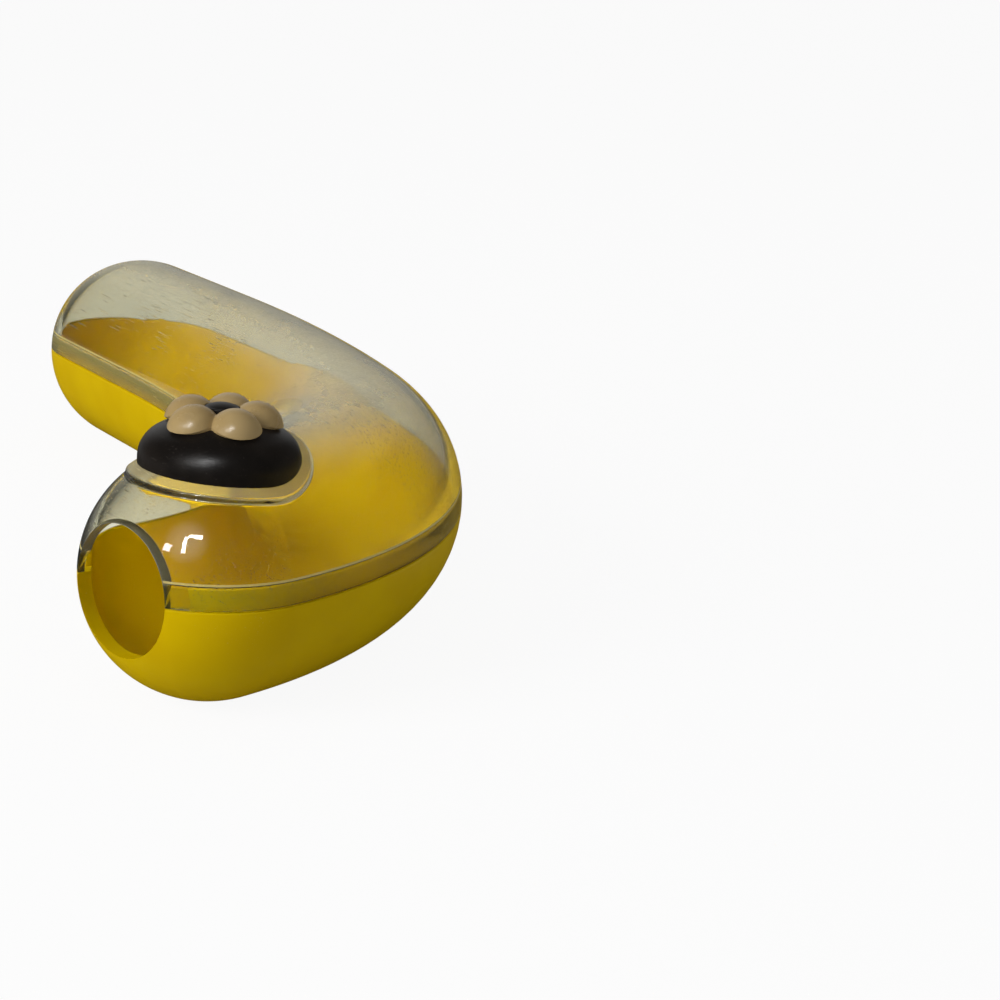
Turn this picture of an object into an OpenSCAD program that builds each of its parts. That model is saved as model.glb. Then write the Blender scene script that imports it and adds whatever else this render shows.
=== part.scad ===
// Banana carrying case: a bent round tube split along its middle plane into
// a deep opaque tray and a clear lift-off lid, with a stem hole at the near end
// and a domed blossom badge pegged to the crown of the lid.

/* [Tube] */
// Outer diameter of the tube
tube_d = 48; // [44:0.5:56]
// Wall of the tray
tray_wall = 2.6; // [2.4:0.1:3.2]
// Wall of the lid
lid_wall = 2; // [1.8:0.1:2.4]
// Depth of the flat that the tray rests on
rest_flat = 0.4; // [0.2:0.1:1]

/* [Centre line] */
// Straight stretch behind the far end
arm_l = 41.5; // [20:0.5:80]
// Radius of the gentle sweep after the straight stretch
sweep_r = 330; // [250:5:500]
// Turn of the gentle sweep, in degrees
sweep_a = 12.5; // [8:0.5:18]
// Radius of the tight bend
bend_r = 85; // [60:1:120]
// Turn of the tight bend, in degrees
bend_a = 64; // [45:1:75]

/* [Closing joint] */
// Height of the tray's lip inside the lid's skirt
lip_h = 4; // [3:0.25:6]
// Thickness of the lid's skirt at its lower edge
skirt_t = 1.3; // [1.1:0.1:1.6]
// Play between the lip and the skirt
fit_gap = 0.3; // [0.2:0.05:0.4]
// Play between the skirt's edge and the tray's ledge
seat_gap = 0.15; // [0.1:0.05:0.3]
// How far the lip stops short of the stem hole
lip_setback = 2.5; // [1.5:0.25:4]
// Length of the snap catch on the inner side of the lip
catch_l = 33; // [15:1:45]
// Height of the snap catch
catch_h = 2; // [1:0.25:2.5]
// How far the snap catch stands out from the lip
catch_t = 0.12; // [0.06:0.02:0.16]

/* [Stem hole] */
// Diameter of the hole that the stem comes out of
hole_d = 24.6; // [18:0.2:28]

/* [Badge] */
// Distance of the badge's axis behind the middle of the round near end
badge_back = 1.5; // [0.5:0.25:4]
// Diameter of the badge's dome
badge_d = 30; // [26:0.5:34]
// Height of the dome above the crown of the lid
dome_h = 6; // [5:0.25:8]
// Radius of the dome's rounded shoulder
shoulder_r = 6; // [4:0.25:7]
// Height of the dome's upright side above the crown of the lid, negative is below it
side_h = -2.5; // [-3.5:0.25:-1]
// Raised pad on the lid, beyond the edge of the dome
pad_margin = 1.8; // [1:0.1:2.5]
// Height of the raised pad
pad_h = 0.6; // [0.4:0.1:1]
// How far the bed under the badge laps from the bend over the round near end
bed_lap = 1.5; // [1:0.25:2.5]
// Play between the badge's pieces
badge_gap = 0.1; // [0.06:0.02:0.16]
// Diameter of the blossom's plug through the dome
plug_d = 16; // [13:0.5:18]
// Number of petals
petal_n = 5; // [4:1:6]
// Radius of one petal
petal_r = 5; // [4.4:0.1:5.4]
// Distance of a petal's middle from the badge's axis
petal_ring = 6.4; // [6:0.1:7]
// Depth of a petal's middle below the crown of the dome
petal_sink = 1.8; // [1.4:0.1:2.4]
// Diameter of the stud in the middle of the blossom
stud_d = 6.4; // [5:0.2:7]
// Height of the stud
stud_h = 3; // [2.4:0.1:3.6]
// Height of the stud's domed top
stud_crown = 0.9; // [0.5:0.1:1.4]
// Depth of the stud's pocket in the plug
pocket_h = 1; // [0.6:0.1:1.6]
// Diameter of the two pegs under the blossom
peg_d = 3; // [2.5:0.1:3.4]
// Distance between the two pegs
peg_span = 9; // [7:0.5:10]
// How far the pegs stop short of the inside of the lid
peg_short = 0.3; // [0.1:0.1:0.8]

/* [Hidden] */
$fn = 128;

tube_r = tube_d / 2;
hole_r = hole_d / 2;
badge_r = badge_d / 2;
tray_in = tube_r - tray_wall;
lid_in = tube_r - lid_wall;
skirt_in = tube_r - skirt_t;
lip_out = skirt_in - fit_gap;

// Middle of the tight bend, from the middle of the round far end
bend_mid = [arm_l + (sweep_r - bend_r) * sin(sweep_a), (sweep_r - bend_r) * cos(sweep_a) - sweep_r, 0];

// Middle of the round near end, and the turn of the tube there
end_a = sweep_a + bend_a;
near_end = bend_mid + bend_r * [sin(end_a), cos(end_a), 0];

// The stem hole takes the foremost part of the near end away
hole_a = asin(hole_r / tube_r);
front = abs(90 - end_a) < hole_a ? max(sin(end_a + hole_a), sin(end_a - hole_a)) : 1;
middle = [near_end.x / 2, (tube_r + near_end.y - tube_r * front) / 2, rest_flat - tube_r];

// Crown arc of the dome, tangent to the shoulder arc
dome_top = tube_r + dome_h;
shoulder_x = badge_r - shoulder_r;
shoulder_z = tube_r + side_h;
rise = dome_top - shoulder_z;
crown_r = (shoulder_x ^ 2 + rise ^ 2 - shoulder_r ^ 2) / (2 * (rise - shoulder_r));
crown_z = dome_top - crown_r;
pad_r = tube_r + pad_h;

// Level inside the tube where the badge's upright shapes and cuts begin
base_z = tube_r / 4;
plug_top = dome_top - badge_gap;
petal_z = crown_z + sqrt(crown_r ^ 2 - petal_ring ^ 2) - petal_sink;
stud_z = plug_top - pocket_h;
stud_ball = (stud_d ^ 2 / 4 + stud_crown ^ 2) / (2 * stud_crown);

// Reach of the cuts that go right through
big = 4 * tube_d;

// Moves its child in two steps, whole hundredths and then the rest, so that no digit is lost
module place(spot) {
    whole = [for (v = spot) round(v * 100) / 100];
    translate(whole)
        translate(spot - whole)
            children();
}

// Puts its child at the middle of the round near end, with +X along the tube
module at_near_end() {
    place(near_end)
        rotate([0, 0, -end_a])
            children();
}

// Puts its child on the badge's axis
module at_badge() {
    at_near_end()
        translate([-badge_back, 0, 0])
            children();
}

// Runs a section round a turn to the right, which begins at the heading from
module turn(radius, angle, from) {
    rotate_extrude(angle = angle, start = 90 - from - angle)
        translate([radius, 0])
            children();
}

// Turns the right half of a section about an upright axis, as an end that looks along heading
module round_end(heading) {
    rotate_extrude(angle = 180, start = heading - 90)
        intersection() {
            children();
            translate([0, -big / 2])
                square(big);
        }
}

// Round near end of the tube
module near_cap() {
    place(near_end)
        round_end(-end_a)
            children();
}

// Tight bend of the tube, which may run on past the near end by an angle
module tight_bend(run_on = 0) {
    place(bend_mid)
        turn(bend_r, bend_a + run_on, sweep_a)
            children();
}

// Carries a section along the whole centre line
module whole_tube() {
    round_end(180)
        children();
    rotate([90, 0, 90])
        linear_extrude(arm_l)
            children();
    translate([arm_l, -sweep_r, 0])
        turn(sweep_r, sweep_a, 0)
            children();
    tight_bend()
        children();
    near_cap()
        children();
}

// Round bar along the tube's end, wide enough for the stem
module stem_bar(radius) {
    at_near_end()
        rotate([0, 90, 0])
            cylinder(r = radius, h = 2 * tube_r);
}

// Everything above the middle plane
module upper_space() {
    translate([-big, -big, 0])
        cube([3 * big, 2 * big, big]);
}

// Section of the tray: half ring with a flat below and an upright lip above
module tray_section() {
    difference() {
        circle(tube_r);
        circle(tray_in);
        translate([-tube_r, 0])
            square(tube_d);
        translate([-tube_r, rest_flat - tube_r - tube_d])
            square(tube_d);
    }
    for (side = [-1, 1])
        translate([side * (tray_in + lip_out) / 2, lip_h / 2])
            square([lip_out - tray_in, lip_h], center = true);
}

// Section of the lid: half ring, stepped inside to take the lip
module lid_section() {
    difference() {
        circle(tube_r);
        circle(lid_in);
        translate([-tube_r, seat_gap - tube_d])
            square(tube_d);
        translate([-skirt_in, 0])
            square([2 * skirt_in, lip_h + fit_gap]);
    }
}

// Section of the raised pad, rooted in the wall of the lid
module pad_section() {
    difference() {
        circle(pad_r);
        circle(tube_r - lid_wall / 2);
    }
}

// Section of the dome: crown arc, shoulder arc and upright side
module dome_section() {
    intersection() {
        translate([0, crown_z])
            circle(crown_r);
        polygon([[0, crown_z], [2 * shoulder_x, 2 * shoulder_z - crown_z], [0, 2 * dome_top]]);
    }
    translate([shoulder_x, shoulder_z])
        circle(shoulder_r);
    translate([0, base_z])
        square([badge_r, shoulder_z - base_z]);
}

// Upright bars at the two pegs
module peg_bars(radius, low, high) {
    for (side = [-1, 1])
        translate([side * peg_span / 2, 0, low])
            cylinder(r = radius, h = high - low);
}

// Ring of round petals that lie on the crown of the dome
module petals() {
    difference() {
        for (i = [0 : petal_n - 1])
            rotate([0, 0, i * 360 / petal_n])
                translate([petal_ring, 0, petal_z])
                    sphere(petal_r);
        translate([0, 0, crown_z])
            sphere(crown_r + badge_gap);
    }
}

module tray() {
    color("gold")
        translate(-middle) {
            difference() {
                whole_tube()
                    tray_section();
                stem_bar(hole_r);
                intersection() {
                    stem_bar(hole_r + lip_setback);
                    upper_space();
                }
            }
            translate([arm_l, -sweep_r, 0])
                turn(sweep_r, catch_l / sweep_r * 180 / PI, 0)
                    translate([-lip_out - catch_t, lip_h / 2 - catch_h / 2])
                        square([lip_out - tray_in, catch_h]);
        }
}

module lid() {
    color([0.85, 0.87, 0.85, 0.4])
        translate(-middle)
            difference() {
                union() {
                    whole_tube()
                        lid_section();
                    intersection() {
                        union() {
                            near_cap()
                                pad_section();
                            tight_bend()
                                pad_section();
                        }
                        at_badge()
                            translate([0, 0, base_z])
                                cylinder(r = badge_r + pad_margin, h = tube_d);
                    }
                }
                stem_bar(hole_r);
                at_badge()
                    peg_bars(peg_d / 2 + badge_gap, base_z, tube_d);
            }
}

module badge_dome() {
    color([0.13, 0.09, 0.07])
        translate(-middle)
            difference() {
                at_badge()
                    difference() {
                        rotate_extrude()
                            dome_section();
                        cylinder(d = plug_d + 2 * badge_gap, h = 2 * dome_top);
                    }
                near_cap()
                    circle(pad_r + badge_gap / 2);
                tight_bend(bed_lap / bend_r * 180 / PI)
                    circle(pad_r + badge_gap);
            }
}

module badge_blossom() {
    color([0.88, 0.74, 0.53])
        translate(-middle) {
            difference() {
                at_badge() {
                    cylinder(d = plug_d, h = plug_top);
                    petals();
                }
                near_cap()
                    circle(pad_r + badge_gap / 2);
                tight_bend(bed_lap / bend_r * 180 / PI)
                    circle(pad_r + badge_gap);
                at_badge()
                    translate([0, 0, stud_z])
                        cylinder(d = stud_d + 2 * badge_gap, h = tube_d);
            }
            at_badge()
                peg_bars(peg_d / 2, lid_in + peg_short, tube_r + dome_h / 2);
        }
}

module badge_stud() {
    color([0.2, 0.13, 0.09])
        translate(-middle)
            at_badge()
                translate([0, 0, stud_z + badge_gap / 2])
                    intersection() {
                        cylinder(d = stud_d, h = stud_h);
                        translate([0, 0, stud_h - stud_ball])
                            sphere(stud_ball);
                    }
}

tray();
lid();
badge_dome();
badge_blossom();
badge_stud();
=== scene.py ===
import bmesh
import bpy
import numpy as np
from mathutils import Matrix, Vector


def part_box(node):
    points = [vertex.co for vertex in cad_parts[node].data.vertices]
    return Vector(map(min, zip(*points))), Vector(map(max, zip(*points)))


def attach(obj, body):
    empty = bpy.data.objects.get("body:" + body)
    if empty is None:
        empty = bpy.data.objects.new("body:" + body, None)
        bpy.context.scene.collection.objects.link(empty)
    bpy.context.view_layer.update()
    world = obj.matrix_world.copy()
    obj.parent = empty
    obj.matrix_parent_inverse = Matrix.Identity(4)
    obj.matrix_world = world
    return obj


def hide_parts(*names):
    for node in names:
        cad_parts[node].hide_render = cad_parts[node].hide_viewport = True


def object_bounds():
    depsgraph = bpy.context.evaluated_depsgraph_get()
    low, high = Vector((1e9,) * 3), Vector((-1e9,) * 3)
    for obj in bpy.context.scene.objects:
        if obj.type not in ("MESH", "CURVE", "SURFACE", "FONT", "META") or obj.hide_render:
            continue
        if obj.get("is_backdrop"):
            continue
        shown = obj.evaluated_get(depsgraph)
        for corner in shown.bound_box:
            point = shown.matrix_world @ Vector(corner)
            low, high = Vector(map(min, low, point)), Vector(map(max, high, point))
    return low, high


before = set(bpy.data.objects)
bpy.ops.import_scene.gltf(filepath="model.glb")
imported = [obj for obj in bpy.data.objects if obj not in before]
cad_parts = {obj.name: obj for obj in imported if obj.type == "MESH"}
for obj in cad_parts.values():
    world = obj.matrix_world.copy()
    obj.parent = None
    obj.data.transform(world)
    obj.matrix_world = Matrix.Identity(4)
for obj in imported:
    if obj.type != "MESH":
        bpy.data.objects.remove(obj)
cad_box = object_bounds()

# Tray: the deep lower half of the tube, which the fruit lies in. Opaque yellow polypropylene,
# moulded in one shot, with an upright lip inset round its rim that the lid's skirt closes over,
# a round notch for the stem at the near end and a long snap catch on the inner side of the lip.
mm = 0.001
tube_r = 24 * mm
tray_in = 21.4 * mm
lip_out = 22.4 * mm
lip_h = 4 * mm
lip_root, lip_mid, lip_round = 0.8 * mm, 1.5 * mm, 0.25 * mm
stem_r = 12.3 * mm
lip_stop_r = 14.8 * mm
rest_depth = 23.6 * mm
soft_edge = 0.3 * mm
arm_l = 41.5 * mm
sweep_r, sweep_a = 330 * mm, np.radians(12.5)
bend_r, bend_a = 85 * mm, np.radians(64)
catch_out, catch_l = 22.52 * mm, 33 * mm
catch_low, catch_high = 1 * mm, 3 * mm
catch_root, catch_slope = 0.3 * mm, 0.3 * mm

tray_low, tray_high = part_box("tray")
far_end = np.array([tray_low.x + tube_r, tray_high.y - tube_r])
parting = tray_high.z - lip_h
sweep_mid = far_end + np.array([arm_l, -sweep_r])
bend_mid = sweep_mid + (sweep_r - bend_r) * np.array([np.sin(sweep_a), np.cos(sweep_a)])
end_a = sweep_a + bend_a
near_end = bend_mid + bend_r * np.array([np.sin(end_a), np.cos(end_a)])

# Stations along the tube: the round far end, the arm, the sweep, the bend, which is finer under
# the badge, and the round near end
arm_s = np.linspace(0, arm_l, 6, endpoint=False)
sweep_s = np.linspace(0, sweep_a, 10, endpoint=False)
badge_from = 0.78
bend_coarse = np.linspace(0, badge_from, 22, endpoint=False)
bend_fine = np.linspace(badge_from, 1, 70, endpoint=False)
bend_s = sweep_a + bend_a * np.r_[bend_coarse, bend_fine]
far_n, near_n = 28, 88
turned = np.r_[np.zeros(far_n + len(arm_s)), sweep_s, bend_s, np.full(near_n, end_a)]
centre = np.concatenate([
    np.tile(far_end, (far_n, 1)),
    far_end + np.stack([arm_s, 0 * arm_s], 1),
    sweep_mid + sweep_r * np.stack([np.sin(sweep_s), np.cos(sweep_s)], 1),
    bend_mid + bend_r * np.stack([np.sin(bend_s), np.cos(bend_s)], 1),
    np.tile(near_end, (near_n, 1)),
])
heading = np.stack([np.cos(turned), -np.sin(turned)], 1)
leftward = np.stack([np.sin(turned), np.cos(turned)], 1)
body_n = len(turned) - far_n - near_n
far_angle = np.r_[np.linspace(0, np.pi / 2, far_n, endpoint=False), np.full(body_n + near_n, np.pi / 2)]
near_share = np.r_[np.zeros(far_n + body_n), np.linspace(0, 1, near_n)]


def on_stations(along, aside, height):
    """Points that lie along and aside from each station's centre, at a height over the parting plane."""
    plan = centre[:, None] + along[..., None] * heading[:, None] + aside[..., None] * leftward[:, None]
    level = np.broadcast_to(parting + height, along.shape)
    return np.concatenate([plan, level[..., None]], axis=2)


def rails(rho, height, stop_r):
    """Lines at the distance rho from the centre line, on the left and on the right: beside the tube,
    and round its two ends as arcs in plan, until they meet a bar of the radius stop_r at the near end."""
    stop = np.arcsin(np.sqrt(stop_r**2 - height**2) / rho)
    near = np.pi / 2 - near_share[:, None] * (np.pi / 2 - stop)
    along = rho * (np.cos(near) - np.cos(far_angle)[:, None])
    aside = rho * np.sin(near) * np.sin(far_angle)[:, None]
    return on_stations(along, aside, height), on_stations(along, -aside, height)


def bows(radius, rim, share, side):
    """Arcs across the tube, from the height rim on its left to the same on its right: slices of a round
    bar, and of a ball at each end, that shrink to a point at the far tip and to the stem's bar in front."""
    rim_rho = np.sqrt(radius**2 - rim**2)
    stop = np.arccos(np.sqrt(radius**2 - stem_r**2) / rim_rho)
    near = np.pi / 2 - near_share * (np.pi / 2 - stop)
    along = rim_rho * (np.cos(near) - np.cos(far_angle))
    slice_r = np.sqrt(radius**2 - along**2)
    start = np.arcsin(np.clip(rim / slice_r, -1, 1))
    angle = start[:, None] + (np.pi - 2 * start[:, None]) * share
    across = slice_r[:, None] * np.cos(angle)
    return on_stations(along[:, None] + 0 * angle, across, side * slice_r[:, None] * np.sin(angle))


def quads(index):
    """The four corners of each cell of a grid of point numbers."""
    return np.stack([index[:-1, :-1], index[1:, :-1], index[1:, 1:], index[:-1, 1:]], -1).reshape(-1, 4)


def walled(outer, inner):
    """Points and cells of a closed wall between two grids of one size: both grids, the two long edges
    between them, and the edge at the near end. At the far tip both grids close by themselves."""
    rows, columns = outer.shape[:2]
    index = np.arange(rows * columns).reshape(rows, columns)
    behind = index + rows * columns
    edges = [quads(np.stack([index[:, j], behind[:, j]], 1)) for j in (0, -1)]
    cells = [quads(index), quads(behind), quads(np.stack([index[-1], behind[-1]], 1)), *edges]
    return np.concatenate([outer.reshape(-1, 3), inner.reshape(-1, 3)]), np.concatenate(cells)


def strip(path):
    """Points and cells of a closed loop carried along a path, with both ends closed to their middle."""
    steps, around = path.shape[:2]
    ends = np.repeat(path[[0, -1]].mean(1)[:, None], around, 1)
    grid = np.concatenate([ends[:1], path, ends[1:]])
    index = np.arange((steps + 2) * around).reshape(steps + 2, around)
    return grid.reshape(-1, 3), quads(np.c_[index, index[:, :1]])


def moulded(name, *forms):
    """One mesh object from lists of points and cells, with its seams and poles merged, its faces turned
    outwards, and its corners over 40 degrees left sharp."""
    weld, sliver, crease = 1e-6, 1e-7, np.radians(40)
    start = np.cumsum([0] + [len(points) for points, cells in forms[:-1]])
    points = np.concatenate([points for points, cells in forms])
    cells = np.concatenate([cells + first for (_, cells), first in zip(forms, start)])
    mesh = bpy.data.meshes.new(name)
    mesh.from_pydata(points, [], cells.tolist())
    work = bmesh.new()
    work.from_mesh(mesh)
    bmesh.ops.remove_doubles(work, verts=work.verts, dist=weld)
    bmesh.ops.dissolve_degenerate(work, dist=sliver, edges=work.edges)
    bmesh.ops.recalc_face_normals(work, faces=work.faces)
    work.to_mesh(mesh)
    work.free()
    mesh.shade_smooth()
    mesh.set_sharp_from_angle(angle=crease)
    piece = bpy.data.objects.new(name, mesh)
    bpy.context.scene.collection.objects.link(piece)
    return piece


quarter = np.linspace(0, np.pi / 2, 5)
edge_rho = tube_r - soft_edge * (1 - np.sin(quarter[:-1]))
edge_down = -soft_edge * (1 - np.cos(quarter[:-1]))
edge_left, edge_right = rails(edge_rho, edge_down, stem_r)
tray_share = np.linspace(0, 1, 112)
tray_outer = np.concatenate([edge_left, bows(tube_r, soft_edge, tray_share, -1), edge_right[:, ::-1]], 1)
tray_outer[..., 2] = np.maximum(tray_outer[..., 2], parting - rest_depth)
rim_left, rim_right = rails(np.full(4, tray_in), np.zeros(4), stem_r)
tray_inner = np.concatenate([rim_left, bows(tray_in, 0, tray_share, -1), rim_right], 1)

lip_rho = np.r_[np.full(3, tray_in), tray_in + lip_round, lip_out - lip_round, np.full(3, lip_out)]
lip_rise = np.r_[-lip_root, lip_mid, lip_h - lip_round, lip_h]
lip_z = np.r_[lip_rise, lip_rise[::-1]]
lip_left, lip_right = rails(lip_rho, lip_z, lip_stop_r)
lip = np.concatenate([lip_left[::-1], lip_right[1:]])

catch_turn = np.linspace(0, catch_l / sweep_r, 24)
catch_way = np.stack([np.sin(catch_turn), np.cos(catch_turn)], 1)
catch_side = np.r_[tray_in + catch_root, lip_out, catch_out]
catch_rho = np.r_[catch_side, catch_side[::-1]]
catch_z = np.array([
    catch_low, catch_low, catch_low + catch_slope,
    catch_high - catch_slope, catch_high, catch_high,
])
catch_plan = (sweep_r - catch_rho)[None, :, None] * catch_way[:, None]
catch_level = np.broadcast_to(parting + catch_z, catch_plan.shape[:2])[..., None]
catch = np.concatenate([sweep_mid + catch_plan, catch_level], 2)

tray = moulded("yellow_tray", walled(tray_outer, tray_inner), strip(lip), strip(catch))
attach(tray, "tray_body")
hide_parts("tray")


class Wire:
    """An output of a material's node. Sums and products on it add Math nodes, and node() adds any other."""

    def __init__(self, tree, socket=None):
        self.tree = tree
        self.socket = socket

    def node(self, kind, settings, sockets, output=0):
        made = self.tree.nodes.new(kind)
        for name, value in settings.items():
            setattr(made, name, value)
        for name, value in sockets.items():
            if isinstance(value, Wire):
                self.tree.links.new(value.socket, made.inputs[name])
            else:
                made.inputs[name].default_value = value
        return Wire(self.tree, made.outputs[output] if made.outputs else None)

    def math(self, operation, *values):
        return self.node("ShaderNodeMath", {"operation": operation}, dict(enumerate(values)))

    def __add__(self, other):
        return self.math("ADD", self, other)

    def __sub__(self, other):
        return self.math("SUBTRACT", self, other)

    def __rsub__(self, other):
        return self.math("SUBTRACT", other, self)

    def __mul__(self, other):
        return self.math("MULTIPLY", self, other)

    def __pow__(self, other):
        return self.math("POWER", self, other)

    def part(self, axis):
        return self.node("ShaderNodeSeparateXYZ", {}, {"Vector": self}, axis)

    def dot(self, direction):
        sockets = {0: self, 1: direction}
        return self.node("ShaderNodeVectorMath", {"operation": "DOT_PRODUCT"}, sockets, "Value")

    def over(self, low, high):
        return self.node("ShaderNodeMapRange", {"interpolation_type": "SMOOTHSTEP"},
                         {"Value": self, "From Min": low, "From Max": high})

    def tint(self, first, second):
        sockets = {0: self, 6: first if isinstance(first, Wire) else (*first, 1), 7: (*second, 1)}
        return self.node("ShaderNodeMix", {"data_type": "RGBA"}, sockets, 2)

    __radd__ = __add__
    __rmul__ = __mul__


def finish(name):
    """A new empty material, as a Wire on its tree and its Object coordinates."""
    material = bpy.data.materials.new(name)
    material.use_nodes = True
    material.node_tree.nodes.clear()
    tree = Wire(material.node_tree)
    return material, tree.node("ShaderNodeTexCoord", {}, {}, "Object")


def cloud(coords, scale, detail=3.0, roughness=0.5):
    """Soft noise with the given number of blotches to the metre."""
    sockets = {"Vector": coords, "Scale": scale, "Detail": detail, "Roughness": roughness}
    return coords.node("ShaderNodeTexNoise", {}, sockets, "Fac")


def scratches(coords, turn, along, across, least):
    """Fine straight scratches: noise that is stretched along one direction, with only its peaks kept."""
    stretch = {"Vector": coords, "Rotation": turn, "Scale": (along, across, across)}
    turned = coords.node("ShaderNodeMapping", {}, stretch)
    streak = turned.node("ShaderNodeTexNoise", {}, {"Vector": turned, "Scale": 1.0, "Detail": 2.0}, "Fac")
    soft = 0.06
    return streak.over(least, least + soft)


def relief(height, strength):
    """The fine relief of a skin, as a normal: a map of heights, a fifth of a millimetre deep at most."""
    return height.node("ShaderNodeBump", {}, {"Strength": strength, "Distance": 0.2 * mm, "Height": height})


fresh_yellow, worn_yellow, scraped_yellow = (0.73, 0.50, 0.0), (0.68, 0.445, 0.0), (0.85, 0.68, 0.2)
yellow, coords = finish("yellow_polypropylene")
mottle = cloud(coords, 45).over(0.35, 0.7)
peel = cloud(coords, 1400, 1)
rubbed = scratches(coords, (0.3, 0.2, 0.4), 60, 2600, 0.66) * cloud(coords, 70).over(0.5, 0.65)
paint = mottle.tint(fresh_yellow, worn_yellow)
paint = (rubbed * 0.25).tint(paint, scraped_yellow)
shade = coords.node("ShaderNodeBsdfPrincipled", {}, {
    "Base Color": paint,
    "Roughness": 0.3 + mottle * 0.1 + rubbed * 0.25,
    "IOR": 1.49,
    "Specular IOR Level": 0.04,
    "Normal": relief(peel * 0.4 - rubbed, 0.12),
})
shade.node("ShaderNodeOutputMaterial", {}, {"Surface": shade})
tray.data.materials.append(yellow)

# Lid: the clear upper half, lifted straight off. Clear polystyrene, a little smoky, moulded 2 mm thick and
# stepped inside into a thinner skirt that closes over the tray's lip, with half of the stem hole and a raised
# round pad for the badge. Use has left dust and hair scratches on its crest, and rubbed its skirt.
lid_in = 22 * mm
skirt_in = 22.7 * mm
skirt_low = 0.15 * mm
skirt_high = 4.3 * mm
hem, step_round, step_mid = 0.2 * mm, 0.4 * mm, 0.1 * mm
pad_r, pad_rise, pad_edge = 16.8 * mm, 0.6 * mm, 0.4 * mm
badge_back = 1.5 * mm
badge_axis = near_end - badge_back * heading[-1]

top_from = 0.24
side_share = np.linspace(0, top_from, 16, endpoint=False)
lid_share = np.r_[side_share, np.linspace(top_from, 1 - top_from, 124), 1 - side_share[::-1]]
hem_turn = np.linspace(0, np.pi / 2, 12, endpoint=False)
hem_rho = tube_r - hem * (1 - np.sin(hem_turn))
hem_z = skirt_low + hem * (1 - np.cos(hem_turn))
hem_left, hem_right = rails(hem_rho, hem_z, stem_r)
lid_outer = np.concatenate([hem_left, bows(tube_r, skirt_low + hem, lid_share, 1), hem_right[:, ::-1]], 1)

# The pad lifts the outer wall inside a circle about the badge's axis, straight away from the tube
beyond = np.linalg.norm(lid_outer[..., :2] - badge_axis, axis=2)
lift = np.clip((pad_r + pad_edge - beyond) / (2 * pad_edge), 0, 1)
lift = pad_rise * lift**2 * (3 - 2 * lift)
in_front = (lid_outer[..., :2] - near_end) @ heading[-1] > 0
to_bend = lid_outer[..., :2] - bend_mid
ring_plan = bend_mid + bend_r * to_bend / np.linalg.norm(to_bend, axis=2)[..., None]
core = np.where(in_front[..., None], near_end, ring_plan)
core = np.concatenate([core, np.full(core.shape[:2] + (1,), parting)], 2)
lid_outer = lid_outer + lift[..., None] * (lid_outer - core) / tube_r

step_rho = np.sqrt(lid_in**2 - skirt_high**2)
ledge_rho = np.linspace(skirt_in - step_round, step_rho + step_mid, 5)
wall_z = np.linspace(skirt_low, skirt_high - step_round, 6)
skirt_rho = np.r_[np.full(len(wall_z), skirt_in), skirt_in - step_mid, ledge_rho]
skirt_z = np.r_[wall_z, skirt_high - step_mid, np.full(len(ledge_rho), skirt_high)]
skirt_left, skirt_right = rails(skirt_rho, skirt_z, stem_r)
lid_inner = np.concatenate([skirt_left, bows(lid_in, skirt_high, lid_share, 1), skirt_right[:, ::-1]], 1)

lid = moulded("clear_lid", walled(lid_outer, lid_inner))

# Masks on the lid's points: the cut edge of the stem hole, the top of the pad, and the outer face
touch, skin = 0.02 * mm, 0.6 * mm
place = np.empty(len(lid.data.vertices) * 3, np.float32)
lid.data.vertices.foreach_get("co", place)
place = place.reshape(-1, 3)
plan, level = place[:, :2], place[:, 2] - parting
ahead = (plan - near_end) @ heading[-1] > 0
at_hole = ahead & (np.hypot((plan - near_end) @ leftward[-1], level) < stem_r + touch)
off_line = np.linalg.norm(plan[:, None] - centre.astype(np.float32), axis=2).min(1)
outside = np.hypot(off_line, level) > tube_r - skin
on_pad = np.clip((pad_r - np.hypot(*(plan - badge_axis).T)) / pad_edge, 0, 1) * outside
for name, share in (("cut", at_hole), ("pad", on_pad), ("outside", outside)):
    lid.data.attributes.new(name, "FLOAT", "POINT").data.foreach_set("value", share.astype(np.float32))
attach(lid, "lid_body")
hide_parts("lid")

clear_tone, used_tone = (0.97, 0.97, 0.95), (0.94, 0.94, 0.91)
skirt_shade_tone, front_shade_tone = (0.79, 0.74, 0.57), (0.56, 0.59, 0.40)
dust_tone, hair_tone, grime_tone = (0.66, 0.61, 0.40), (0.06, 0.05, 0.03), (0.28, 0.24, 0.07)
pad_shade_tone, step_highlight_tone = (0.50, 0.42, 0.21), (0.82, 0.67, 0.21)
smoke_tone, smoke_density = (0.36, 0.34, 0.0, 1), 190.0
clear, coords = finish("clear_polystyrene")
height, along, aside = coords.part("Z"), coords.part("X"), coords.part("Y")
blotch = cloud(coords, 30, 5).over(0.4, 0.75)

# Dust that has settled on the crest and the shoulder of the bend, and is wiped thin along the arm
wiping = {"Vector": coords, "Rotation": (0, 0, 0.6), "Scale": (25, 120, 60)}
wiped = coords.node("ShaderNodeMapping", {}, wiping)
grain = cloud(coords, 1300, 3, 0.7).over(0.3, 0.7)
crest = height.over(40.5 * mm, 48.5 * mm) * 0.2 + height.over(44 * mm, 48 * mm) * 0.2
shoulder = height.over(33 * mm, 39 * mm) * along.over(55 * mm, 68 * mm) * aside.over(10 * mm, 24 * mm)
crest = crest * (1 - along.over(60 * mm, 95 * mm) * 0.4) + shoulder * 0.14
settled = crest * (0.3 + cloud(coords, 90, 4) * 0.5 + cloud(wiped, 1.0, 4) * 0.7 + grain * 0.18)

# Hair scratches and loose specks
fine = scratches(coords, (0.2, 0.5, 0.9), 90, 2600, 0.655)
crossed = scratches(coords, (0.6, -0.3, -0.5), 110, 3000, 0.665)
hairs = coords.math("MAXIMUM", fine, crossed) * cloud(coords, 55).over(0.44, 0.6)
dust = cloud(coords, 2600, 1).over(0.7, 0.78)
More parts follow.
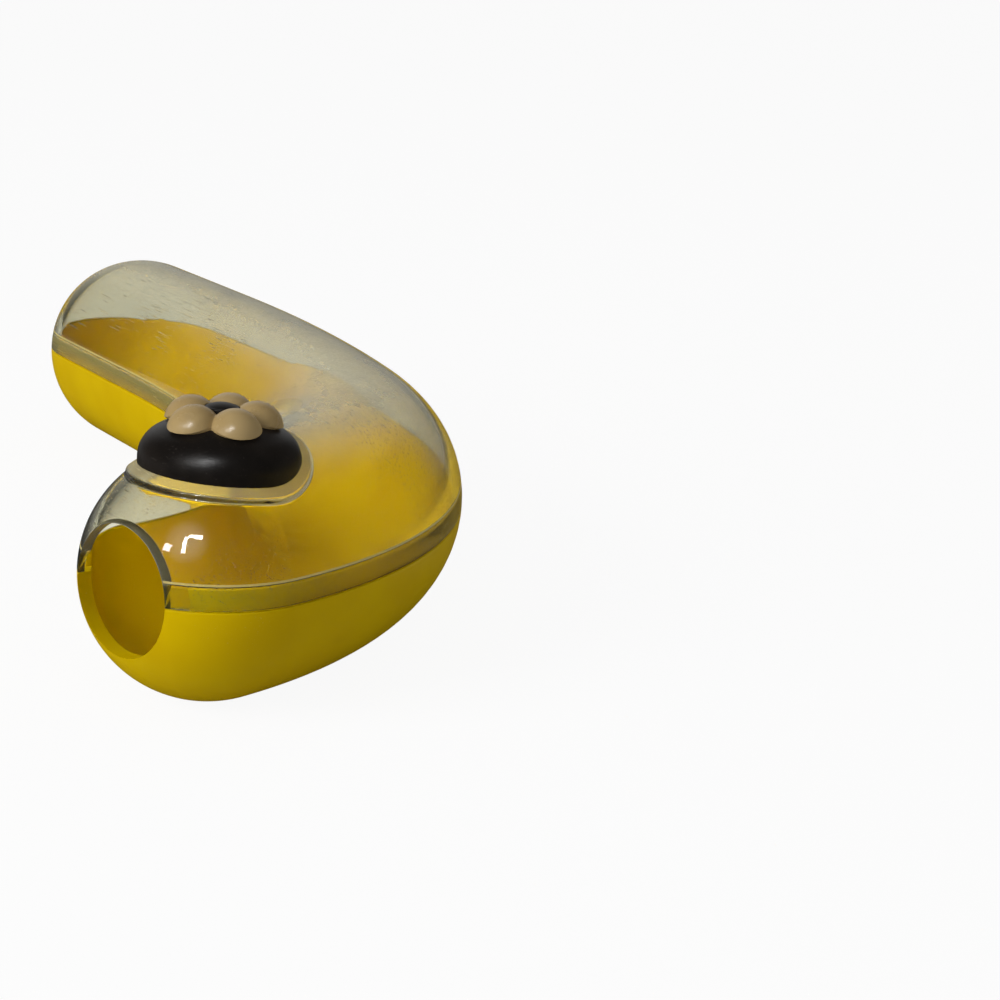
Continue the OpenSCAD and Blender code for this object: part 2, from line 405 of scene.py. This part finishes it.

# The skirt, rubbed along the arm, painted shade on the pad round the badge, the cut edge, and a painted
# highlight as a pale line over the skirt's inner step
skirt = 1 - height.over(parting + 3.8 * mm, parting + skirt_high)
front = 1 - aside.over(-50 * mm, -10 * mm)
rubbed = skirt * (1 - along.over(-5 * mm, 45 * mm)) * (1 - aside.over(20 * mm, 50 * mm))
rubbed = rubbed * (0.2 + height.over(parting, parting + 3.5 * mm) * 0.6 + cloud(wiped, 2.0, 4) * 0.2)
# Painted shade: a grey-olive haze on the pad's ring round the badge dims the bright yellow seen through it
pad_shade = coords.node("ShaderNodeAttribute", {"attribute_name": "pad"}, {}, "Fac")
cut = coords.node("ShaderNodeAttribute", {"attribute_name": "cut"}, {}, "Fac")
outer = coords.node("ShaderNodeAttribute", {"attribute_name": "outside"}, {}, "Fac")
within = coords.node("ShaderNodeNewGeometry", {}, {}, "Backfacing")
# Painted highlight: a pale yellow band on the outer face over the skirt's inner step
step_highlight_low, step_highlight_high, step_highlight_soft = parting + 4.58 * mm, parting + 5.1 * mm, 0.1 * mm
step_highlight = height.over(step_highlight_low, step_highlight_low + step_highlight_soft)
step_highlight = step_highlight * (1 - height.over(step_highlight_high - step_highlight_soft, step_highlight_high))
step_highlight = step_highlight * outer * (1 - within) * (1 - cut)
tone = blotch.tint(clear_tone, used_tone)
# Painted shade: the skirt's tone darkens the yellow lip seen through it, and the front's tone darkens it more
# at the front
tone = skirt.tint(tone, skirt_shade_tone)
tone = (skirt * front).tint(tone, front_shade_tone)
glass = coords.node("ShaderNodeBsdfPrincipled", {}, {
    "Base Color": tone,
    "Roughness": 0.012 + blotch * 0.03 + hairs * 0.15,
    "IOR": 1.5,
    "Transmission Weight": 1.0,
    "Coat Weight": 0.09,
    "Coat Roughness": 0.28,
    "Sheen Weight": 0.02,
    "Sheen Roughness": 0.35,
    "Sheen Tint": (0.85, 0.83, 0.72, 1),
    "Normal": relief(0 - hairs, 0.08),
})
grimy = skirt.tint(hairs.tint(dust_tone, hair_tone), grime_tone)
haze = coords.node("ShaderNodeBsdfPrincipled", {}, {
    "Base Color": step_highlight.tint(pad_shade.tint(grimy, pad_shade_tone), step_highlight_tone),
    "Roughness": 0.5,
    "IOR": 1.5,
})
veil = settled + hairs * 0.6 + dust * 0.2 + cut * 0.16 + rubbed * 0.6 + pad_shade * 0.6 + step_highlight * 0.65
shade = glass.node("ShaderNodeMixShader", {}, {0: veil, 1: glass, 2: haze})
smoke = glass.node("ShaderNodeVolumeAbsorption", {}, {"Color": smoke_tone, "Density": smoke_density})
shade.node("ShaderNodeOutputMaterial", {}, {"Surface": shade, "Volume": smoke})
lid.data.materials.append(clear)

# Badge dome: the dark cushion of the badge, with a soft shoulder and a rim that follows the pad under it.
# Dark brown ABS with a satin moulded skin, held down by the blossom's plug, which goes through its middle.
dome_r = 15 * mm
dome_hole = 8.1 * mm
crown_arc, crown_mid = 23.45 * mm, 6.55 * mm
shoulder_r, shoulder_d, shoulder_z = 6 * mm, 9 * mm, 21.5 * mm
side_low = 15 * mm
bed_r = 24.68 * mm
ring = np.linspace(0, 2 * np.pi, 240, endpoint=False)
spoke = np.cos(ring)[:, None] * heading[-1] + np.sin(ring)[:, None] * leftward[-1]


def bed_height(reach):
    """Height over the parting plane of the bed under the badge, at a reach from its axis along each
    spoke: a ball in front of the near end's middle, and a ring about the bend's middle behind it."""
    plan = badge_axis + reach[..., None] * spoke[:, None]
    ahead = (plan - near_end) @ heading[-1] > 0
    ball = np.linalg.norm(plan - near_end, axis=2)
    bend = np.linalg.norm(plan - bend_mid, axis=2) - bend_r
    return np.sqrt(bed_r**2 - np.where(ahead, ball, bend)**2)


def turned_form(reach, height, looped):
    """Points and cells of a shape about the badge's axis: a profile for each spoke, of reach from the
    axis and height over the parting plane, which is a loop or runs from one pole to the other."""
    plan = badge_axis + reach[..., None] * spoke[:, None]
    points = np.concatenate([plan, (parting + height)[..., None]], 2)
    index = np.arange(reach.size).reshape(reach.shape)
    index = np.concatenate([index, index[:1]])
    return points.reshape(-1, 3), quads(np.c_[index, index[:, :1]] if looped else index)


lean = np.arctan2(shoulder_d, shoulder_z - crown_mid)
steps = 200
crown_t = np.linspace(np.arcsin(dome_hole / crown_arc), lean, steps)
shoulder_t = np.linspace(lean, np.pi / 2, steps)
dome_d = np.r_[
    crown_arc * np.sin(crown_t),
    shoulder_d + shoulder_r * np.sin(shoulder_t),
    np.full(steps, dome_r),
]
dome_z = np.r_[
    crown_mid + crown_arc * np.cos(crown_t),
    shoulder_z + shoulder_r * np.cos(shoulder_t),
    np.linspace(shoulder_z, side_low, steps),
]
under = bed_height(np.tile(dome_d, (len(ring), 1))) > dome_z
meets = np.argmax(under, axis=1)
rows = meets[:, None] * np.linspace(0, 1, 56)
top_d = np.interp(rows, np.arange(len(dome_d)), dome_d)
top_z = np.interp(rows, np.arange(len(dome_z)), dome_z)
rim_d = top_d[:, -1:]
under_d = rim_d + (dome_hole - rim_d) * np.linspace(0.03, 1, 8)
under_z = bed_height(under_d)
dome = moulded("badge_cushion", turned_form(np.c_[top_d, under_d], np.c_[top_z, under_z], True))
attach(dome, "lid_body")
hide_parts("badge_dome")

deep_brown, handled_brown, scraped_brown = (0.007, 0.0055, 0.0045), (0.012, 0.009, 0.007), (0.09, 0.075, 0.06)
brown, coords = finish("dark_brown_satin")
grain = cloud(coords, 2200, 2)
handled = cloud(coords, 130, 4).over(0.42, 0.68)
nicks = scratches(coords, (0.4, 0.7, 0.2), 160, 4200, 0.68)
paint = handled.tint(deep_brown, handled_brown)
paint = (nicks * 0.5).tint(paint, scraped_brown)
shade = coords.node("ShaderNodeBsdfPrincipled", {}, {
    "Base Color": paint,
    "Roughness": 0.31 + handled * 0.1 + nicks * 0.2,
    "IOR": 1.5,
    "Specular IOR Level": 0.31,
    "Normal": relief(grain * 0.5 - nicks, 0.2),
})
shade.node("ShaderNodeOutputMaterial", {}, {"Surface": shade})
dome.data.materials.append(brown)

# Badge blossom: five round petals on a plug. Cream ABS with a soft gloss, pushed down through the dome,
# with two pegs on its underside that go into the lid, and a pocket for the stud in its middle.
petal_n, petal_r, petal_ring, petal_z = 5, 5 * mm, 6.4 * mm, 27.31 * mm
plug_r, plug_top = 8 * mm, 29.9 * mm
pocket_r, pocket_z = 3.3 * mm, 28.9 * mm
peg_r, peg_off, peg_low, peg_high = 1.5 * mm, 4.5 * mm, 22.3 * mm, 26 * mm
peg_chamfer = 0.3 * mm
play = 0.1 * mm
petal_foot = 0.7 * mm


def crown_height(reach):
    """Height over the parting plane of the dome's crown."""
    return crown_mid + np.sqrt(crown_arc**2 - reach**2)


def petal_height(reach):
    """Height of the blossom's top: the soft highest of the petals' balls, with a rounded valley between."""
    apart = ring[:, None, None] - np.arange(petal_n) * 2 * np.pi / petal_n
    off = reach[..., None]**2 + petal_ring**2 - 2 * reach[..., None] * petal_ring * np.cos(apart)
    rise = np.sqrt(np.clip(petal_r**2 - off, 0, None))
    fall = np.sqrt(np.clip(off - petal_r**2, 0, None))
    ball = petal_z + rise - 4 * fall
    sharp = 5 / mm
    return np.log(np.exp((ball - plug_top) * sharp).sum(2)) / sharp + plug_top


reach = np.tile(np.linspace(plug_r, petal_ring + petal_r, 700), (len(ring), 1))
stands = petal_height(reach) > crown_height(reach) + petal_foot
outline = np.where(stands, reach, plug_r).max(1)[:, None]
top_d = pocket_r + (outline - pocket_r) * np.sin(np.linspace(0, np.pi / 2, 64))
top_z = np.maximum(petal_height(top_d), crown_height(top_d) + play)
under_d = outline + (plug_r - outline) * np.linspace(0, 1, 5)[1:]
under_z = crown_height(under_d) + play / 2
plug_d = np.tile(plug_r, (len(ring), 3))
plug_foot = bed_height(plug_d[:, :1])
plug_z = plug_foot + (under_z[:, -1:] - plug_foot) * np.array([0.66, 0.33, 0])
zero = np.zeros((len(ring), 1))
blossom_d = np.c_[zero, zero + pocket_r, top_d, under_d, plug_d, zero + plug_r / 2, zero]
pocket_floor = np.c_[zero + pocket_z, zero + pocket_z]
plug_bed = np.c_[bed_height(zero + plug_r / 2), bed_height(zero)]
blossom_z = np.c_[pocket_floor, top_z, under_z, plug_z, plug_bed]
blossom_form = turned_form(blossom_d, blossom_z, False)

peg_turn = np.linspace(0, 2 * np.pi, 32, endpoint=False)
peg_ring = peg_r * (np.cos(peg_turn)[:, None] * heading[-1] + np.sin(peg_turn)[:, None] * leftward[-1])
peg_level = np.array([peg_low, peg_low + peg_chamfer, peg_high])
peg_girth = np.array([0.8, 1, 1])


def peg(side):
    """A round bar with a chamfered foot: its ring of points carried up from the foot into the plug."""
    plan = badge_axis + side * peg_off * heading[-1] + peg_girth[:, None, None] * peg_ring
    level = np.broadcast_to(parting + peg_level[:, None, None], plan.shape[:2] + (1,))
    return strip(np.concatenate([plan, level], 2))


blossom = moulded("badge_petals", blossom_form, peg(-1), peg(1))
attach(blossom, "lid_body")
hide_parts("badge_blossom")

pale_cream, warm_cream, grime_brown = (0.47, 0.335, 0.15), (0.42, 0.29, 0.12), (0.24, 0.16, 0.07)
cream, coords = finish("cream_gloss")
peel = cloud(coords, 1800, 1)
warm = cloud(coords, 120, 3).over(0.4, 0.7)
grime = cloud(coords, 260, 4).over(0.55, 0.75)
nicks = scratches(coords, (0.1, 0.4, 1.1), 150, 3800, 0.68)
paint = warm.tint(pale_cream, warm_cream)
paint = (grime * 0.2 + nicks * 0.4).tint(paint, grime_brown)
shade = coords.node("ShaderNodeBsdfPrincipled", {}, {
    "Base Color": paint,
    "Roughness": 0.25 + grime * 0.12 + nicks * 0.2,
    "IOR": 1.5,
    "Normal": relief(peel * 0.4 - nicks, 0.12),
})
shade.node("ShaderNodeOutputMaterial", {}, {"Surface": shade})
blossom.data.materials.append(cream)

# Badge stud: the round heart of the blossom. A turned button of the dome's dark brown plastic with
# a domed top, pressed into the blossom's pocket.
stud_r, stud_low, stud_high, stud_round = 3.2 * mm, 28.95 * mm, 31.95 * mm, 0.4 * mm
stud_ball, stud_drop, stud_foot = 6.14 * mm, 0.25 * mm, 0.2 * mm
round_t = np.linspace(0, 0.9 * np.pi / 2, 8)
cap_d = np.linspace(stud_r - stud_round, 0, 16)
cap_z = stud_high - stud_ball + np.sqrt(stud_ball**2 - cap_d**2)
round_d = stud_r - stud_round * (1 - np.cos(round_t))
round_z = cap_z[0] - stud_drop * (1 - np.sin(round_t))
stud_d = np.r_[0, stud_r - stud_foot, stud_r, round_d, cap_d]
stud_z = np.r_[stud_low, stud_low, stud_low + stud_foot, round_z, cap_z]
around = (len(ring), 1)
stud = moulded("badge_heart", turned_form(np.tile(stud_d, around), np.tile(stud_z, around), False))
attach(stud, "lid_body")
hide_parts("badge_stud")
stud.data.materials.append(brown)

# Floor, light and camera: a plain pale floor in a white room. Reflections see both dimmer, with a bright
# side behind the case and a warm patch of floor on its right. One broad lamp stands low in front on the left,
# three small ones give the lid's highlights, and the camera is at the photograph's place.
floor_size = 12.0
white, black, warm_ground = (0.97, 0.97, 0.97), (0, 0, 0), (0.65, 0.45, 0.04)
mesh = bpy.data.meshes.new("floor")
corner = floor_size / 2 * np.array([[-1, -1, 0], [1, -1, 0], [1, 1, 0], [-1, 1, 0]])
mesh.from_pydata(corner, [], [(0, 1, 2, 3)])
floor = bpy.data.objects.new("floor", mesh)
bpy.context.scene.collection.objects.link(floor)
floor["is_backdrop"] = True


def bounced(tree, kind, count=0.5):
    """1 on rays that have bounced more often than count in one way, and 0 on all others."""
    bounces = tree.node("ShaderNodeLightPath", {}, {}, kind)
    return bounces.math("GREATER_THAN", bounces, count)


pale, coords = finish("pale_floor")
lit = bounced(coords, "Diffuse Depth")
mirrored = bounced(coords, "Glossy Depth")
plainly = (1 - lit) * (1 - mirrored)
leftmost = coords.dot((-1, -0.55, 0))
behind = coords.part("Y")
dimmed = mirrored * (0.97 - leftmost.over(0.0, 0.6) * 0.45) + lit * 0.4
warmed = mirrored * behind.over(0.04, 0.1) * (1 - behind.over(0.25, 0.6))
ground = warmed.tint(dimmed.tint(white, black), warm_ground)
dull = coords.node("ShaderNodeBsdfDiffuse", {}, {"Color": ground})
bright = coords.node("ShaderNodeEmission", {}, {"Color": (1, 1, 1, 1), "Strength": 1.0})
shade = coords.node("ShaderNodeMixShader", {}, {0: plainly * 0.93, 1: dull, 2: bright})
shade.node("ShaderNodeOutputMaterial", {}, {"Surface": shade})
floor.data.materials.append(pale)

world = bpy.data.worlds.new("white_room")
bpy.context.scene.world = world
world.use_nodes = True
world.node_tree.nodes.clear()
room = Wire(world.node_tree)
toward = room.node("ShaderNodeTexCoord", {}, {}, "Generated")
lit = bounced(room, "Diffuse Depth")
mirrored = bounced(room, "Glossy Depth") * (1 - lit)
trapped = bounced(room, "Glossy Depth", 2.5) * mirrored

# What reflections see: a dark room with a bright side behind the case, and a soft glow round the small lamps
bright_side = toward.dot((-0.870, 0.369, 0.326))
soft_glow = toward.dot((0.433, -0.618, 0.656)).over(0.93, 1.0)
backdrop = 0.01 + bright_side.math("MAXIMUM", bright_side - 0.68, 0) ** 2 * 4.6 + soft_glow * 1.4

# Light on what lies behind the lid, in place of the broad lamp, which is hidden from rays through the lid
lamp_side = toward.dot((0.2865, -0.8818, 0.3746)).over(0.6, 1.0)
through = bounced(room, "Transmission Depth") * lit * lamp_side
level = trapped * 0.4 + (1 - lit - mirrored) + lit * 0.31 + through * 13.8 + mirrored * backdrop
glow = room.node("ShaderNodeBackground", {}, {"Color": (1, 1, 1, 1), "Strength": level})
glow.node("ShaderNodeOutputWorld", {}, {"Surface": glow})


def lamp(name, azimuth, elevation, width, height, power):
    """A flat lamp a metre and a bit from the case, which looks at its middle."""
    light = bpy.data.lights.new(name, "AREA")
    light.shape = "RECTANGLE"
    light.size = width
    light.size_y = height
    light.energy = power
    away = 1.2
    turn, rise = np.radians(azimuth), np.radians(elevation)
    back = np.array([np.cos(turn) * np.cos(rise), np.sin(turn) * np.cos(rise), np.sin(rise)])
    across = np.array([-np.sin(turn), np.cos(turn), 0])
    stand = bpy.data.objects.new(name, light)
    stand.matrix_world = Matrix(np.c_[across, np.cross(back, across), back, away * back].tolist()).to_4x4()
    bpy.context.scene.collection.objects.link(stand)
    return stand


key = lamp("key_lamp", -83, 25, 0.6, 0.6, 9.2)
key.visible_glossy = False
key.visible_transmission = False
strips = [
    lamp("tall_strip", -51.5, 36, 0.06, 0.28, 2.1),
    lamp("cross_strip", -42.5, 43.5, 0.22, 0.06, 1.6),
    lamp("low_strip", -67, 31, 0.13, 0.12, 1.1),
]
for strip_lamp in strips:
    strip_lamp.visible_diffuse = False
    strip_lamp.visible_transmission = False

# The camera's focal length is in picture widths, and its place is taken from the middle of the far end
focal, sensor = 2.1832, 36
pitch, roll, yaw = np.radians(15.51), np.radians(-4.562), np.radians(-54.411)
eye = np.array([98.07, -570.03, 124.83]) * mm
to_row = np.array([[np.cos(yaw), np.sin(yaw), 0], [-np.sin(yaw), np.cos(yaw), 0], [0, 0, 1]])
ahead = np.array([0, np.cos(pitch), -np.sin(pitch)])
sideways = np.array([1, 0, 0])
upright = np.cross(sideways, ahead)
right = np.cos(roll) * sideways - np.sin(roll) * upright
up = np.sin(roll) * sideways + np.cos(roll) * upright
lens = bpy.data.cameras.new("camera")
lens.sensor_width = sensor
lens.lens = sensor * focal
lens.clip_start = 0.01
camera = bpy.data.objects.new("camera", lens)
spot = to_row @ eye + np.r_[far_end, parting]
camera.matrix_world = Matrix(np.c_[to_row @ right, to_row @ up, -(to_row @ ahead), spot].tolist()).to_4x4()
bpy.context.scene.collection.objects.link(camera)
bpy.context.scene.camera = camera
bpy.context.scene.view_settings.view_transform = "Standard"

boxes = {"cad": cad_box, "visual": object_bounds()}
boxes = {name: [list(map(float, corner)) for corner in box] for name, box in boxes.items()}
